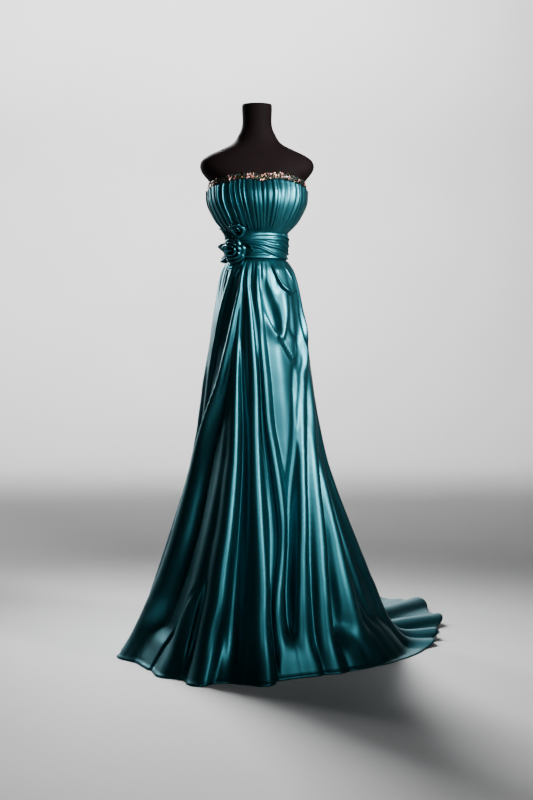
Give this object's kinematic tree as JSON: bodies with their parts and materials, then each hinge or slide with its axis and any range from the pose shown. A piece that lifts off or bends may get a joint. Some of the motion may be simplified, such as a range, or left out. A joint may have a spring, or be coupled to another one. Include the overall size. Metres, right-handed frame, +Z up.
{
  "type": "evening gown on a dress form",
  "caption": "Strapless satin gown with a pleated bodice, draped sash, satin roses and a fluted skirt with a train, on a limbless dress form.",
  "frame": {"origin": "on the floor under the dress form's axis, in the middle of the stand's flat underside", "axes": "+Z up; the gown faces -Y; the wearer's left is +X; the train runs out towards +Y"},
  "size_m": [1.1445, 1.544, 1.753],
  "materials": {
    "teal_satin": "lustrous satin",
    "beaded_trim": "beaded and sequinned band",
    "form_cover": "matt stretched jersey",
    "stand_paint": "satin black paint"
  },
  "bodies": {
    "root": {"form_torso": "form_cover", "stand_pole": "stand_paint", "stand_base": "stand_paint", "bodice_front": "teal_satin", "bodice_back_left": "teal_satin", "bodice_back_right": "teal_satin", "neck_trim_front": "beaded_trim", "neck_trim_back": "beaded_trim", "sash_front": "teal_satin", "sash_back": "teal_satin", "rose_main": "teal_satin", "rose_small": "teal_satin", "rosette_leaf_upper": "teal_satin", "rosette_leaf_left": "teal_satin", "rosette_leaf_low": "teal_satin", "rosette_loop_right": "teal_satin", "rosette_loop_lower": "teal_satin", "rosette_tail": "teal_satin", "skirt_front": "teal_satin", "skirt_back_left": "teal_satin", "skirt_back_right": "teal_satin"}
  },
  "joints": []
}
